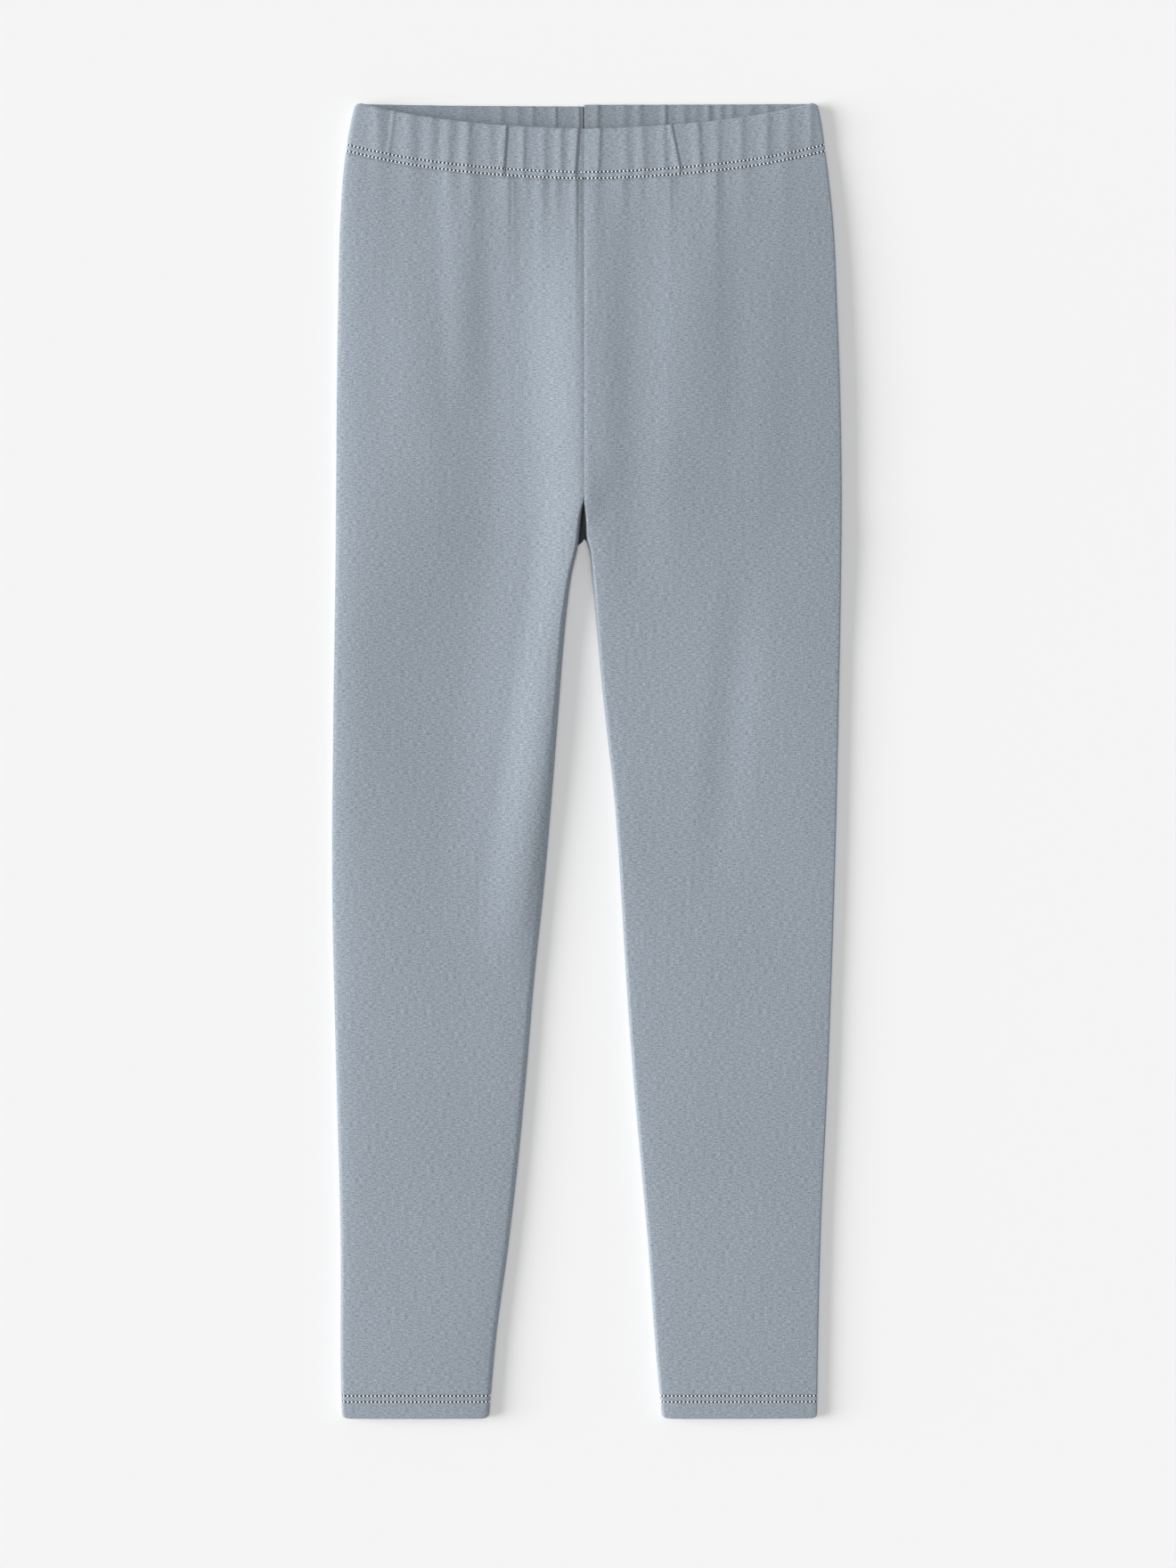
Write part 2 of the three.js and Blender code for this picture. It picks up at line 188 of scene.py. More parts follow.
OUTLINE = table(
    OutlineRow,
    # height, right, left, loft, right_round, left_round, right_fall
    (0, -131.2, 121.7, 6.6, 1.8, 0.9, 0.4),
    (16, -131.7, 121.9, 6.6, 1.8, 0.9, 0.5),
    (91, -131.9, 123.4, 6.6, 1.9, 0.9, 1.0),
    (186, -134.3, 127.6, 6.6, 2.0, 0.9, 1.7),
    (281, -136.4, 130.9, 6.8, 2.0, 0.9, 2.3),
    (376, -135.8, 133.2, 7.0, 2.2, 0.9, 2.6),
    (452, -134.7, 134.5, 7.4, 2.4, 0.9, 2.6),
    (494, -134.3, 134.8, 7.8, 2.4, 0.9, 2.6),
    (541, -134.0, 134.1, 8.0, 2.4, 0.9, 2.4),
    (589, -133.3, 132.5, 8.1, 2.4, 0.9, 2.2),
    (641, -131.9, 129.9, 8.1, 2.2, 0.9, 1.8),
    (669, -129.8, 126.8, 8.1, 2.2, 0.9, 1.2),
    (693, -125.7, 123.2, 8.1, 2.2, 1.0, 0.8),
    (700, -124.1, 121.9, 8.1, 2.2, 1.0, 0.8),
)

INSEAMS = table(
    InseamRow,
    # height, right, left, right_round, left_round
    (0, -53.0, 39.2, 2.2, 1.6),
    (44, -49.1, 35.3, 2.4, 1.6),
    (91, -42.8, 32.0, 2.6, 1.6),
    (139, -37.3, 27.7, 2.8, 1.6),
    (186, -32.9, 23.6, 3.0, 1.6),
    (234, -28.9, 20.2, 3.0, 1.6),
    (281, -23.9, 17.4, 3.0, 1.6),
    (328, -19.8, 14.1, 3.0, 1.6),
    (376, -16.1, 8.8, 3.0, 1.6),
    (401, -14.2, 6.3, 3.0, 1.6),
    (423, -12.3, 4.4, 3.0, 1.6),
    (436, -10.9, 3.3, 2.6, 1.6),
    (452, -8.4, 1.7, 2.0, 1.5),
    (462, -6.1, 0.5, 1.6, 1.4),
    (467, -5.3, -1.0, 1.6, 1.4),
    (477, -4.2, -1.8, 1.6, 1.4),
    (488, -2.8, -2.4, 1.8, 1.4),
)

FOLDS = table(
    FoldRow,
    # x_top, x_low, top, low, to_right, to_left, rise, leg
    (-3, 3, 672, 410, 36, 200, 7.4),
    (0, -40, 508, 240, 25, 15, 4.9, Leg.RIGHT),
    (-8, -24, 500, 250, 90, 40, -2.2, Leg.RIGHT),
    (-52, -52, 640, 430, 34, 26, -1.4),
    (-54, -86, 520, 250, 75, 46, -3.6, Leg.RIGHT),
    (-68, -66, 690, 530, 14, 16, 1),
    (24, 25, 665, 430, 18, 22, -1.2),
    (57, 58, 690, 515, 25, 27, 1),
    (84, 66, 460, 280, 16, 18, -0.8),
    (-96, -92, 620, 500, 20, 22, 0.5),
    (96, 92, 640, 470, 20, 18, 0.4),
)

BAND_GATHERS = table(
    GatherRow,
    # top, low, rise, to_right, to_left, cut, below
    (-112, -111.3, 0.8, 4, 4, 0, 3),
    (-103.2, -106.3, 0.3, 1.2, 1, 0, 3),
    (-94.5, -95, 0.7, 4.5, 4, 0, 3),
    (-83.6, -84.1, 0.65, 3.5, 3.5, 0, 3),
    (-73.6, -75.5, 0.7, 3.8, 3.2, 0, 3),
    (-64.2, -64.9, 0.8, 3.5, 3, 0, 3),
    (-53, -52, 0.3, 3, 3, 0, 3),
    (-43.4, -45, 0.7, 3.2, 0.5, 1.2, 2),
    (-34.3, -34.8, 0.5, 2.6, 1.2, 0, 3),
    (-23.9, -23.7, 0.4, 2.5, 2, 0, 3),
    (-14.9, -14.9, 0.55, 2.6, 2, 0, 3),
    (-5.3, -6.9, 0.8, 3.4, 0.5, 1.3, 3),
    (5.9, 5, 0.7, 4, 1.2, 0, 6),
    (19.2, 20.1, 0.35, 3, 2.5, 0, 3),
    (28.2, 29.4, 0.45, 2.8, 2.2, 0, 3),
    (39.8, 40.5, 0.4, 2.5, 1.5, 0, 3),
    (44, 48.6, 0.6, 2.6, 0.5, 0.6, 5),
    (57.5, 59.2, 0.6, 3, 1.8, 0, 3),
    (68.2, 68.7, 0.4, 3, 2, 0, 3),
    (80.7, 81.2, 0.4, 3, 2.2, 0, 3),
    (94.5, 94.7, 0.5, 3.5, 2.2, 0, 3),
    (105.8, 105.8, 0.35, 3, 2.5, 0, 3),
    (118, 118, 0.4, 2.5, 2, 0, 3),
)

PANEL_GATHERS = table(
    GatherRow,
    # top, low, rise, to_right, to_left, cut, below
    (-111.5, -111.5, 0.4, 5, 5, 0, 22),
    (-91.2, -94, 0.5, 7, 5, 0, 30),
    (-73.2, -73.6, 0.6, 4.5, 4.5, 0, 24),
    (-61.3, -62.3, 0.8, 4, 4, 0, 22),
    (-42.9, -42, 0.9, 5, 3, 0.7, 30),
    (-34.3, -33.8, 0.3, 2.5, 2.5, 0, 9),
    (-27.2, -25, 0.8, 3.5, 3, 0, 26),
    (-18.2, -17, 0.7, 2.5, 2.2, 0, 12),
    (-12.8, -12.2, 0.35, 2, 1.6, 0, 8),
    (-7.8, -6.2, 1, 3.5, 1.6, 0.7, 34),
    (4, 3.6, 0.5, 4, 3, 0, 40),
    (21, 18.2, 0.6, 5, 2.5, 0, 16),
    (27.2, 27.2, 0.3, 2.5, 2.5, 0, 9),
    (37.4, 36.5, 0.5, 3.5, 3, 0, 11),
    (47.6, 44, 0.7, 5, 2, 0.5, 20),
    (57.5, 57.5, 0.3, 3, 3, 0, 9),
    (69.4, 68.5, 0.8, 5.5, 2, 0.4, 36),
    (83.6, 83, 0.4, 5, 4, 0, 26),
    (103, 103, 0.4, 5, 5, 0, 22),
)

BACK_GATHERS = table(
    GatherRow,
    # top, low, rise, to_right, to_left, cut, below
    (-107, -106, 0.2, 4, 4, 0, 16),
    (-85, -86, 0.25, 5, 4, 0, 20),
    (-66, -67, 0.25, 4, 4, 0, 14),
    (-46.6, -47, 0.4, 3, 2.5, 0, 18),
    (-37.9, -38, 0.35, 3, 2.5, 0, 12),
    (-29.8, -30, 0.4, 2, 1.5, 0, 14),
    (-17.3, -17, 0.5, 2.5, 0.8, 0.3, 12),
    (-4.9, -4.6, 0.6, 2, 0.8, 0.4, 14),
    (5, 4.2, 0.6, 3, 1.2, 0, 16),
    (18.7, 19, 0.4, 3, 2.5, 0, 18),
    (27.2, 27, 0.5, 2.5, 2, 0, 12),
    (41.4, 41.4, 0.7, 2.2, 0.5, 1.1, 14),
    (50.7, 51, 0.5, 2.8, 2.4, 0, 12),
    (57, 57, 0.3, 2.5, 2.5, 0, 10),
    (63.9, 64.5, 0.6, 2.2, 1.5, 0, 20),
    (70.6, 70.4, 0.4, 2, 1.8, 0, 12),
    (76.5, 76, 0.4, 2, 2, 0, 14),
    (86.4, 86, 0.35, 3, 2.5, 0, 12),
    (95.2, 95.6, 0.5, 2.6, 2.4, 0, 16),
    (104, 104, 0.35, 3, 2.5, 0, 12),
    (113.4, 113, 0.35, 2.5, 2.5, 0, 10),
)


@dataclass(frozen=True)
class LaidForm:
    """How the cloth lies, in millimetres.

    A point of it is named by u and its height. u runs from 0 at the inner end of the top layer over the leg
    to 1 at the outer fold, and back underneath to 2 at the inner end of the layer below. The tables' places
    across count from a line beside the outline's middle, which is at middle_x. A stretch of heights is where
    something begins and the length over which it grows.
    """

    length: float = 700.0
    casing_depth: float = 26.5
    hem_depth: float = 12.8
    crotch: float = 466.0
    web_height: float = 467.5
    arch_depths: tuple[float, float] = (3.0, 0.4)
    rise_x: float = -2.4
    middle_x: float = -0.7
    front_rise_start: float = 492.0
    seam_sink: float = 0.32
    seam_reach: float = 1.2
    edge_share: float = 0.42
    notch_edge: float = 1.4
    notch_reach: float = 46.0
    crown: float = 0.2
    leg_crowns: tuple[float, float] = (0.1, 0.06)
    left_fall: float = 1.3
    fall_slopes: tuple[float, float] = (0.34, 0.05)
    inner_shoulder: float = 0.6
    inner_reach: float = 4.0
    under_round: float = 0.8
    seam_roll: float = np.radians(82.0)
    walls_meet: tuple[float, float] = (484.0, 8.0)
    top_rolls: tuple[float, float] = (474.0, 18.0)
    under_rolls: tuple[float, float] = (462.0, 5.0)
    seam_sinks: tuple[float, float] = (470.0, 20.0)
    dip_top: float = 13.9
    dip_stitched: float = 15.2
    dip_start: float = 520.0
    dip_powers: tuple[float, float] = (1.4, 3.2)
    back_dips: tuple[float, float] = (1.3, 0.4)
    hem_corner: float = 2.6
    waist_corner: float = 2.5
    inner_turn: float = 0.12
    outer_turn: float = 0.12
    curves: dict[str, SmoothCurve] = field(default_factory=dict)

    def __post_init__(self) -> None:
        """Makes the curves of the outline's and inseams' tables."""
        for name in ("right", "left", "loft", "right_round", "left_round", "right_fall"):
            values = [getattr(row, name) for row in OUTLINE]
            self.curves[f"outer_{name}"] = SmoothCurve([row.height for row in OUTLINE], values)
        for name in ("right", "left", "right_round", "left_round"):
            values = [getattr(row, name) for row in INSEAMS]
            self.curves[f"inner_{name}"] = SmoothCurve([row.height for row in INSEAMS], values)

    @property
    def seam_height(self) -> float:
        """The height of the casing's lower end."""
        return self.length - self.casing_depth

    def grown(self, stretch: tuple[float, float], height: Array) -> Array:
        """The share, 0 to 1, that something has grown to over its stretch of heights."""
        return ease((height - stretch[0]) / stretch[1])

    def corner(self, inside: Array, radius: float) -> Array:
        """How far a rounded corner pulls a fold in, at a distance from the cloth's end: a quarter circle."""
        left = np.clip(radius - inside, 0.0, radius)
        return radius - np.sqrt(radius**2 - left**2)

    def inner_wall(self, leg: Leg, height: Array) -> Array:
        """Where the leg's inner side stands, from the hem up to where the two legs meet."""
        wall = self.curves[f"inner_{leg.word}"](height)
        held = mix(wall, self.rise_x, self.grown(self.walls_meet, height))
        return held + leg.value * self.corner(height, self.hem_corner)

    def fold_height(self, leg: Leg, x: Array, height: Array, above: Array) -> Array:
        """The large folds: each a squared cosine across its line, and a half sine wave along it.

        Args:
            leg: which leg.
            x: place across.
            height: distance from the hems.
            above: share of the rise seam's opening, 0 where the legs are apart.

        Returns:
            Heights over the laid cloth.
        """
        total = np.zeros(np.broadcast(x, height).shape)
        for fold in FOLDS:
            along = (fold.top - height) / (fold.top - fold.low)
            inside = np.clip(along, 0.0, 1.0)
            off = x - mix(fold.x_top, fold.x_low, inside)
            reach = np.where(off < 0, fold.to_right, fold.to_left)
            across = np.cos(np.clip(off / reach, -1.0, 1.0) * np.pi / 2) ** 2
            held = 1.0 if fold.leg in (None, leg) else above
            total = total + held * fold.rise * np.sin(np.pi * inside) ** 0.8 * across
        return total

    def cloth(self, leg: Leg, u: Array, height: Array, depth: Array = 0.0) -> Array:
        """The cloth without its gathers, at a depth under its outer face.

        Each layer of a section is a quarter ellipse at its inner end, a low crown and a quarter ellipse at
        the outer fold. On top the front slides down towards the hems near the waist, most at the centre.

        Args:
            leg: which leg.
            u: place round the leg, 0 to 2.
            height: distance from the hems.
            depth: distance under the outer face, along the section's own turn.

        Returns:
            Points, the last axis being x, y and z.
        """
        u, height, depth = np.broadcast_arrays(*(np.asarray(part, float) for part in (u, height, depth)))
        side = leg.value
        front = u <= 1.0
        t = np.where(front, u, 2.0 - u)
        stand = self.curves["outer_loft"](height)
        outer_z = stand * self.edge_share
        near = 1.0 - np.clip((self.crotch - height) / self.notch_reach, 0.0, 1.0)
        inner_z = mix(outer_z, self.notch_edge, ease(near))
        wall = self.inner_wall(leg, height)
        pulled = self.corner(height, self.hem_corner) + self.corner(self.length - height, self.waist_corner)
        outer = self.curves[f"outer_{leg.word}"](height) - side * pulled
        width = np.abs(outer - wall)
        above = ease((height - self.crotch) / (self.front_rise_start - self.crotch))
        slim = np.where(front, 1.0, self.under_round)
        inner_r = self.curves[f"inner_{leg.word}_round"](height) * slim
        inner_r = np.where(front, inner_r, np.minimum(inner_r, inner_z * 1.3))
        outer_r = self.curves[f"outer_{leg.word}_round"](height) * slim

        rolled = self.seam_roll * self.grown(self.top_rolls, height)
        under = self.seam_roll * self.grown(self.under_rolls, height)
        turn = np.where(front, rolled, under)
        start_angle = mix(turn, np.pi / 2, np.clip(t / self.inner_turn, 0.0, 1.0))
        end_angle = np.clip((1.0 - t) / self.outer_turn, 0.0, 1.0) * np.pi / 2
        middle = np.clip((t - self.inner_turn) / (1 - self.inner_turn - self.outer_turn), 0.0, 1.0)
        flat = mix(inner_r * np.cos(turn), width - outer_r, middle)
        across = np.where(t < self.inner_turn, inner_r * (np.cos(turn) - np.cos(start_angle)), flat)
        across = np.where(t > 1 - self.outer_turn, width - outer_r * (1 - np.cos(end_angle)), across)
        share = np.where(t < 0.5, np.sin(start_angle), np.sin(end_angle))

        pick = 0 if leg is Leg.RIGHT else 1
        closed = 1.0 - np.clip((self.web_height - height) / self.arch_depths[pick], 0.0, 1.0)
        reach_in = np.where(front, 0.0, closed) * (self.rise_x - wall)
        x = wall + side * across + reach_in * np.clip(1.0 - t / self.inner_turn, 0.0, 1.0) ** 1.5

        half = across / width
        crown_here = mix(self.leg_crowns[pick] * (2 * half - 1) ** 2, self.crown * half**2, above)
        fall = self.curves["outer_right_fall"](height) if leg is Leg.RIGHT else self.left_fall
        shoulder = fall * np.exp((across - width) * self.fall_slopes[pick] / fall)
        shoulder = shoulder + self.inner_shoulder * (1 - above) * np.exp(-across / self.inner_reach)
        groove = np.exp(-np.abs((x - self.rise_x) / self.seam_reach) ** 1.4)
        groove = groove * self.grown(self.seam_sinks, height)
        folds = self.fold_height(leg, x, height, above)
        top = stand * (1 - crown_here) + folds - self.seam_sink * groove - shoulder
        edge = np.where(t < 0.5, inner_z, outer_z)
        z_top = edge + (top - edge) * share
        z_under = edge * (1 - share)
        slide = self.dip_stitched * ease((height - self.dip_start) / (self.seam_height - self.dip_start))
        rest = np.clip((height - self.seam_height) / self.casing_depth, 0.0, 1.0)
        slide = slide + (self.dip_top - self.dip_stitched) * rest
        early, late = self.dip_powers
        bend = 1 - (np.abs(half) ** early + np.abs(half) ** late) / 2
        back_fall = self.back_dips[pick] * rest
        dip = np.where(front, slide, back_fall) * bend
        inward = np.where(t < 0.5, np.cos(start_angle), -np.cos(end_angle)) * depth
        z = np.where(front, z_top - share * depth, z_under + share * depth)
        return np.stack([x + side * inward, height - dip - self.length / 2, z], axis=-1)

    def normal(self, leg: Leg, u: Array, height: Array) -> Array:
        """The outward direction of that face, across two short steps on it."""
        step_u, step_up = 0.0015, 0.15
        before = self.cloth(leg, np.clip(u - step_u, 0, 2), height)
        after = self.cloth(leg, np.clip(u + step_u, 0, 2), height)
        below = self.cloth(leg, u, np.clip(height - step_up, 0.02, self.length))
        above = self.cloth(leg, u, np.clip(height + step_up, 0.02, self.length))
        return unit(np.cross(after - before, above - below) * leg.value)


@dataclass(frozen=True)
class GatherRelief:
    """What the elastic and the stitches do to the cloth, as a height off the laid form in millimetres."""

    form: LaidForm
    puff: float = 0.35
    crease_shift: float = 0.8
    crease_reach: float = 0.45
    handover: float = 3.0
    stitch_rows: tuple[float, float] = (674.6, 677.8)
    stitch_sink: float = 0.28
    stitch_reach: float = 0.75
    hem_rows: tuple[float, float] = (9.1, 12.3)
    side_share: float = 0.6
    side_narrowing: float = 12.0

    def gathers(self, rows: tuple[GatherRow, ...], x: Array, height: Array) -> Array:
        """Sums the ridges: each a bell curve with two widths, and a narrow cusp for its crease.

        Args:
            rows: the ridges.
            x: place across the garment.
            height: distance from the hems.

        Returns:
            Heights in millimetres.
        """
        up = np.clip((height - self.stitch_rows[1]) / (self.form.length - self.stitch_rows[1]), 0.0, 1.0)
        under = np.clip(self.form.seam_height - height, 0.0, None)
        total = np.zeros(np.broadcast(x, height).shape)
        for row in rows:
            off = x - mix(row.low, row.top, up)
            bell = np.exp(-((off / np.where(off < 0, row.to_right, row.to_left)) ** 2))
            cusp = np.exp(-np.abs((off - self.crease_shift) / self.crease_reach) ** 1.4)
            total = total + (row.rise * bell - row.cut * cusp) * np.exp(-under / row.below)
        return total

    def stitched(self, rows: tuple[float, ...], height: Array) -> Array:
        """The furrow that each row of stitches pulls into the cloth."""
        total = np.zeros(np.shape(height))
        for row in rows:
            total = total - self.stitch_sink * np.exp(-(((height - row) / self.stitch_reach) ** 2))
        return total

    def at(self, leg: Leg, u: Array, x: Array, height: Array) -> Array:
        """The relief of the outer face. Under the garment it only lifts the cloth off the surface.

        Args:
            leg: which leg; not used.
            u: place round the leg.
            x: the cloth's place across the garment.
            height: distance from the hems.

        Returns:
            Heights off the laid form, outwards.
        """
        front = u <= 1.0
        level = mix(self.stitch_rows[1], self.form.length, 0.5)
        body = np.clip(1 - ((height - level) / (self.form.length - level)) ** 2, 0.0, 1.0)
        above = ease((height - self.stitch_rows[0] + self.handover) / (2 * self.handover))
        top = self.gathers(BAND_GATHERS, x, height) * above + self.puff * body
        top = top + self.gathers(PANEL_GATHERS, x, height) * (1 - above)
        back = -self.gathers(BACK_GATHERS, x, height)
        rows = self.stitched(self.stitch_rows, height) + self.stitched(self.hem_rows, height)
        relief = np.where(front, top, np.minimum(back, 0.0)) + rows
        side = ease(1.0 - np.abs(u - 1.0) * self.side_narrowing)
        return relief * (1.0 - self.side_share * side)


class WallPath(NamedTuple):
    """The path of a wall's section: heights, and depths under the outer face, there and back."""

    heights: Array
    depths: Array


def open_wall(heights: Array, wall: float) -> WallPath:
    """A plain wall: up the outer face and down the inner one."""
    depths = np.concatenate([np.zeros(len(heights)), np.full(len(heights), wall)])
    return WallPath(np.concatenate([heights, heights[::-1]]), depths)


def folded_wall(start: float, edge: float, wall: float, rows: int) -> WallPath:
    """A wall that turns back in a half circle at its edge, as folded cloth does.

    Args:
        start: height of its open end.
        edge: height of the fold.
        wall: thickness.
        rows: rows on each face.

    Returns:
        The path.
    """
    way = 1.0 if edge > start else -1.0
    radius = wall / 2
    run = np.linspace(start, edge - way * radius, rows)
    turn = np.linspace(0, np.pi, 14)[1:-1]
    heights = np.concatenate([run, edge - way * radius * (1 - np.sin(turn)), run[::-1]])
    depths = np.concatenate([np.zeros(rows), radius * (1 - np.cos(turn)), np.full(rows, wall)])
    return WallPath(heights, depths)


def spread(*stretches: tuple[float, int], start: float) -> Array:
    """Places from start through the ends of the stretches, each cut into its number of steps."""
    ends = [start] + [end for end, _ in stretches]
    parts = [np.linspace(low, end, count, endpoint=False) for low, (end, count) in zip(ends, stretches)]
    return np.concatenate(parts + [np.array([ends[-1]])])


def put_mesh(
    name: str, points: Array, faces: Array, flat: Array, uv: Array, inside: Array | None = None
) -> bpy.types.Object:
    """Puts points in millimetres and four-sided faces into a new mesh object.

    Args:
        name: the object's name.
        points: one row for each vertex.
        faces: four vertex numbers for each face.
        flat: which faces are shaded flat.
        uv: one row for each vertex, in metres on the cloth.
        inside: which faces have the object's second material.

    Returns:
        The object, at the origin.
    """
    mesh = bpy.data.meshes.new(name)
    mesh.vertices.add(len(points))
    mesh.vertices.foreach_set("co", (points * MM).astype(np.float32).ravel())
    mesh.loops.add(faces.size)
    mesh.loops.foreach_set("vertex_index", faces.astype(np.int32).ravel())
    mesh.polygons.add(len(faces))
    mesh.polygons.foreach_set("loop_start", np.arange(0, faces.size, 4, dtype=np.int32))
    mesh.polygons.foreach_set("use_smooth", ~flat)
    if inside is not None:
        mesh.polygons.foreach_set("material_index", inside.astype(np.int32))
    layer = mesh.uv_layers.new(name="Cloth")
    layer.data.foreach_set("uv", uv[faces.ravel()].astype(np.float32).ravel())
    mesh.update(calc_edges=True)
    mesh.validate()
    thing = bpy.data.objects.new(name, mesh)
    bpy.context.scene.collection.objects.link(thing)
    return thing


def closed_faces(rows: int, columns: int) -> tuple[Array, Array]:
    """Faces of a wall whose rows go up the outer face and down the inner one.

    The grid closes on itself along the rows, and a strip at each end joins each outer row to the inner row
    behind it.

    Args:
        rows: rows of the grid, an even number.
        columns: columns of the grid.

    Returns:
        The faces, and which of them are rims.
    """
    row, column = np.meshgrid(np.arange(rows), np.arange(columns - 1), indexing="ij")
    after = (row + 1) % rows
    here, there = row * columns + column, after * columns + column
    grid = np.stack([here, here + 1, there + 1, there], axis=-1).reshape(-1, 4)
    rim = (row == rows - 1).ravel() | (row == rows // 2 - 1).ravel()
    level = np.arange(rows // 2 - 1)
    back = rows - 1 - level
    first = np.stack([level, level + 1, back - 1, back], axis=-1) * columns
    last = first[:, ::-1] + columns - 1
    faces = np.concatenate([grid, first, last])
    return faces, np.concatenate([rim, np.ones(len(first) + len(last), bool)])


@dataclass(frozen=True)
class ClothMaker:
    """Turns wall paths into closed cloth meshes on the laid form."""

    form: LaidForm
    relief: GatherRelief
    inside_from: float = 0.6

    def columns(self, front: int, back: int, turn: int) -> Array:
        """Places round a leg, close together where a layer turns and at the rise seam."""
        inner, outer = self.form.inner_turn, 1 - self.form.outer_turn
        over = spread((inner, turn), (inner + 0.02, 8), (outer, front), (1.0, turn), start=0.0)
        under = spread((inner, turn), (outer, back), (1.0, turn), start=0.0)
        return np.concatenate([over, (2.0 - under[::-1])[1:]])

    def surface(self, leg: Leg, u: Array, height: Array, depth: Array) -> Array:
        """Points at a depth under the outer face."""
        base = self.form.cloth(leg, u, height)
        lift = self.relief.at(leg, u, base[..., 0], height)
        points = self.form.cloth(leg, u, height, depth) + self.form.normal(leg, u, height) * lift[..., None]
        points[..., 0] -= self.form.middle_x
        points[..., 2] = np.maximum(points[..., 2], 0.0)
        return points

    def wall(self, name: str, leg: Leg, u: Array, path: WallPath, folded: bool) -> bpy.types.Object:
        """Builds a closed wall along a path.

        Args:
            name: the object's name.
            leg: which leg.
            u: places round the leg.
            path: heights and depths of the wall's section.
            folded: whether the far edge is a fold and so shaded smooth.

        Returns:
            The object. Its UV map holds the distance round from the outer fold and the height, in metres.
        """
        columns, heights = np.meshgrid(u, path.heights)
        depths = np.broadcast_to(path.depths[:, None], columns.shape)
        points = self.surface(leg, columns, heights, depths)
        steps = np.linalg.norm(np.diff(points, axis=1), axis=-1)
        run = np.concatenate([np.zeros((len(points), 1)), np.cumsum(steps, axis=1)], axis=1)
        fold = np.argmin(np.abs(u - 1.0))
        uv = np.stack([run - run[:, fold : fold + 1], heights], axis=-1) * MM
        faces, flat = closed_faces(*columns.shape)
        if folded:
            middle = len(path.heights) // 2 - 1
            first = middle * (len(u) - 1)
            flat[first : first + len(u) - 1] = False
        inside = depths.ravel()[faces].min(axis=1) > self.inside_from * path.depths[-1]
        if (leg is Leg.LEFT) != (path.heights[0] > path.heights[1]):
            faces = faces[:, ::-1]
        return put_mesh(name, points.reshape(-1, 3), faces, flat, uv.reshape(-1, 2), inside)


@dataclass(frozen=True)
class StitchRow:
    """A row of straight stitches of thick thread lying on the cloth."""

    pitch: float = 2.1
    length: float = 1.1
    thick: float = 0.8
    sides: int = 6
    rings: int = 5
    dive: float = 0.16
    lift: float = 0.22
    samples: int = 2400

    def thread(self) -> tuple[Array, Array]:
        """One stitch along X: a rod that narrows and dives into the cloth at both ends.

        Returns:
            Its points, and its four-sided faces.
        """
        along = np.linspace(-1, 1, self.rings)
        radius = self.thick / 2 * np.sqrt(np.clip(1 - 0.75 * along**2, 0.05, 1))
        angle = np.linspace(0, 2 * np.pi, self.sides, endpoint=False)
        x = np.repeat(along * self.length / 2, self.sides)
        y = (radius[:, None] * np.cos(angle)).ravel()
        z = (radius[:, None] * np.sin(angle) - self.dive * along[:, None] ** 2).ravel()
        ring, spoke = np.meshgrid(np.arange(self.rings - 1), np.arange(self.sides), indexing="ij")
        beside = (spoke + 1) % self.sides
        side = np.stack(
            [ring * self.sides + spoke, ring * self.sides + beside,
             (ring + 1) * self.sides + beside, (ring + 1) * self.sides + spoke], axis=-1,
        ).reshape(-1, 4)
        last = (self.rings - 1) * self.sides
        caps = np.array([[3, 2, 1, 0], [5, 4, 3, 0], [last, last + 1, last + 2, last + 3],
                         [last, last + 3, last + 4, last + 5]])
        return np.stack([x, y, z], axis=-1), np.concatenate([side, caps])

    def lay(self, maker: ClothMaker, leg: Leg, height: float) -> tuple[Array, Array]:
        """Lays the row round a leg.

        Args:
            maker: gives the cloth's surface.
            leg: which leg.
            height: the row's distance from the hems.

        Returns:
            Points and faces of all its stitches.
        """
        u = np.linspace(0.004, 1.996, self.samples)
        line = maker.surface(leg, u, np.full_like(u, height), np.zeros_like(u))
        outward = maker.form.normal(leg, u, np.full_like(u, height))
        run = np.concatenate([[0.0], np.cumsum(np.linalg.norm(np.diff(line, axis=0), axis=-1))])
        run = run - np.interp(1.0, u, run)
        first = np.ceil(run[0] / self.pitch - 0.5) + 0.5
        last = np.floor(run[-1] / self.pitch + 0.5) - 0.5
        places = np.arange(first, last + 0.1) * self.pitch
        centre = np.stack([np.interp(places, run, line[:, k]) for k in range(3)], axis=-1)
        ahead = np.stack([np.interp(places + 0.5, run, line[:, k]) for k in range(3)], axis=-1)
        up = unit(np.stack([np.interp(places, run, outward[:, k]) for k in range(3)], axis=-1))
        along = unit(ahead - centre)
        across = unit(np.cross(up, along))
        template, faces = self.thread()
        lifted = centre + up * self.lift
        points = (
            lifted[:, None]
            + template[None, :, 0:1] * along[:, None]
            + template[None, :, 1:2] * across[:, None]
            + template[None, :, 2:3] * up[:, None]
        )
        points[..., 2] = np.maximum(points[..., 2], 0.0)
        numbers = faces[None] + (np.arange(len(places)) * len(template))[:, None, None]
        return points.reshape(-1, 3), numbers.reshape(-1, 4)


